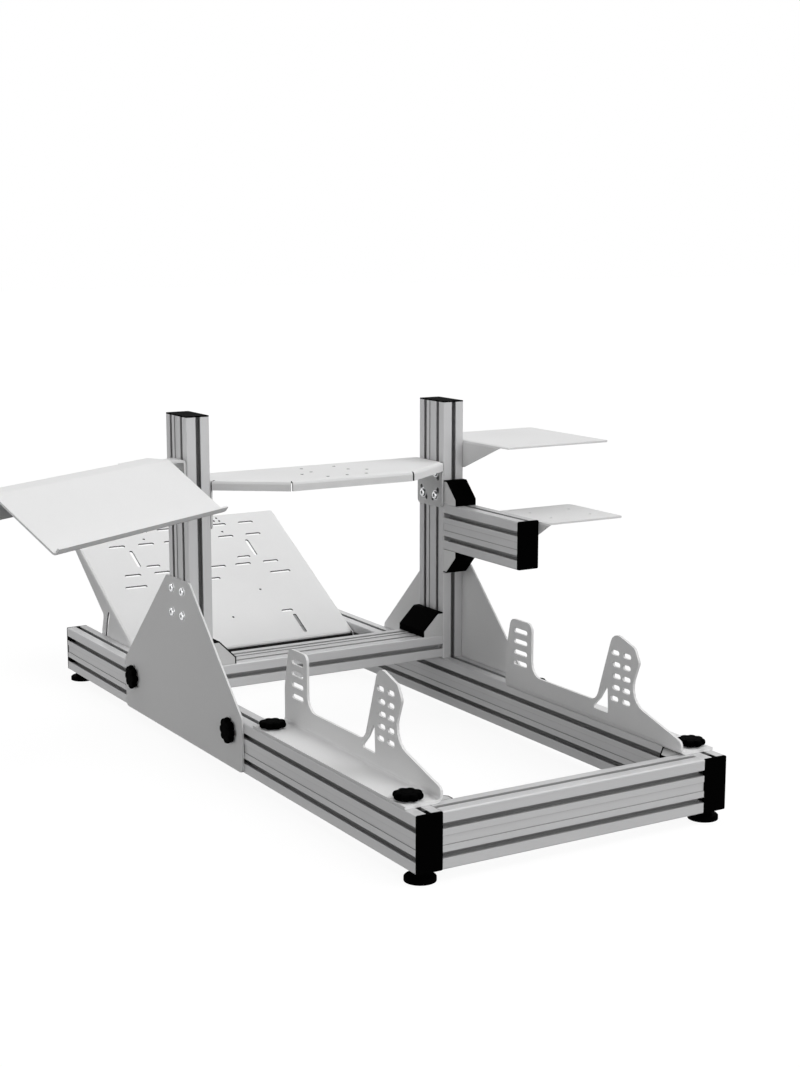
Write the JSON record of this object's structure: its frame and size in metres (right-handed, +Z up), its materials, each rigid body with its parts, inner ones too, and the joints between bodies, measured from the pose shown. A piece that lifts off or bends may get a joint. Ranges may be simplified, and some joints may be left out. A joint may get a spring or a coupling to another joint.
{
  "type": "sim racing rig",
  "caption": "Free-standing driving-game frame of slotted aluminium profile with a sliding wheel frame, tilting wheel deck and pedal plate, side shelves and a swivelling keyboard tray.",
  "frame": {"origin": "on the floor, under the middle of the box around the whole rig", "axes": "+X to the driver's right, +Y forward to the pedals, +Z up"},
  "size_m": [1.1374, 1.3548, 0.5483],
  "materials": {
    "profile": "satin anodised",
    "cast_bracket": "tumbled satin",
    "coated_sheet": "light grey powder coat",
    "black_cap": "matte black",
    "black_knob": "matte black",
    "black_foot": "matte black"
  },
  "bodies": {
    "base": {"rail_right": "profile", "rail_left": "profile", "rail_cap_rear_right": "black_cap", "rail_cap_rear_left": "black_cap", "rail_cap_front_right": "black_cap", "rail_cap_front_left": "black_cap", "foot_rear_right": "black_foot", "foot_rear_left": "black_foot", "foot_front_right": "black_foot", "foot_front_left": "black_foot", "corner_bracket_right": "cast_bracket", "corner_bracket_left": "cast_bracket", "corner_bracket_covers": "black_cap", "crossbar_rear": "profile", "crossbar_front": "profile"},
    "wheel_frame": {"upright_right": "profile", "upright_left": "profile", "upright_cap_right": "black_cap", "upright_cap_left": "black_cap", "gusset_right": "coated_sheet", "gusset_left": "coated_sheet", "cross_bracket_right": "cast_bracket", "cross_bracket_left": "cast_bracket", "gusset_knob_rear_right": "black_knob", "gusset_knob_rear_left": "black_knob", "gusset_knob_front_right": "black_knob", "gusset_knob_front_left": "black_knob", "cross_bracket_covers": "black_cap", "cross_member": "profile", "shifter_arm": "profile", "shifter_arm_cap": "black_cap", "arm_bracket_upper": "cast_bracket", "arm_bracket_lower": "cast_bracket", "arm_bracket_covers": "black_cap", "shelf_upper": "coated_sheet", "shelf_lower": "coated_sheet", "tray_bracket": "coated_sheet"},
    "wheel_deck": {"wheel_deck": "coated_sheet"},
    "keyboard_tray": {"keyboard_tray": "coated_sheet"},
    "seat_bracket_left": {"seat_bracket_left": "coated_sheet", "seat_knob_rear_left": "black_knob", "seat_knob_front_left": "black_knob"},
    "seat_bracket_right": {"seat_bracket_right": "coated_sheet", "seat_knob_rear_right": "black_knob", "seat_knob_front_right": "black_knob"},
    "pedal_plate": {"pedal_plate": "coated_sheet"}
  },
  "joints": [
    {"name": "wheel_frame_slide", "type": "slide", "parent": "base", "child": "wheel_frame", "axis": [0, 1, 0], "range_m": [-0.01, 0.15]},
    {"name": "wheel_deck_tilt", "type": "hinge", "parent": "wheel_frame", "child": "wheel_deck", "pos_m": [0.09874, 0.05964, 0.404], "axis": [1, 0, 0], "range_deg": [-20, 20]},
    {"name": "tray_swivel", "type": "hinge", "parent": "wheel_frame", "child": "keyboard_tray", "pos_m": [-0.23626, 0.01264, 0.4827], "axis": [0, 0, 1], "range_deg": [-30, 8]},
    {"name": "seat_bracket_left_slide", "type": "slide", "parent": "base", "child": "seat_bracket_left", "axis": [0, 1, 0], "range_m": [-0.025, 0.01]},
    {"name": "seat_bracket_right_slide", "type": "slide", "parent": "base", "child": "seat_bracket_right", "axis": [0, 1, 0], "range_m": [-0.025, 0.01]},
    {"name": "pedal_plate_tilt", "type": "hinge", "parent": "base", "child": "pedal_plate", "pos_m": [0.09874, 0.34764, 0.077], "axis": [1, 0, 0], "range_deg": [-14, 10]}
  ]
}
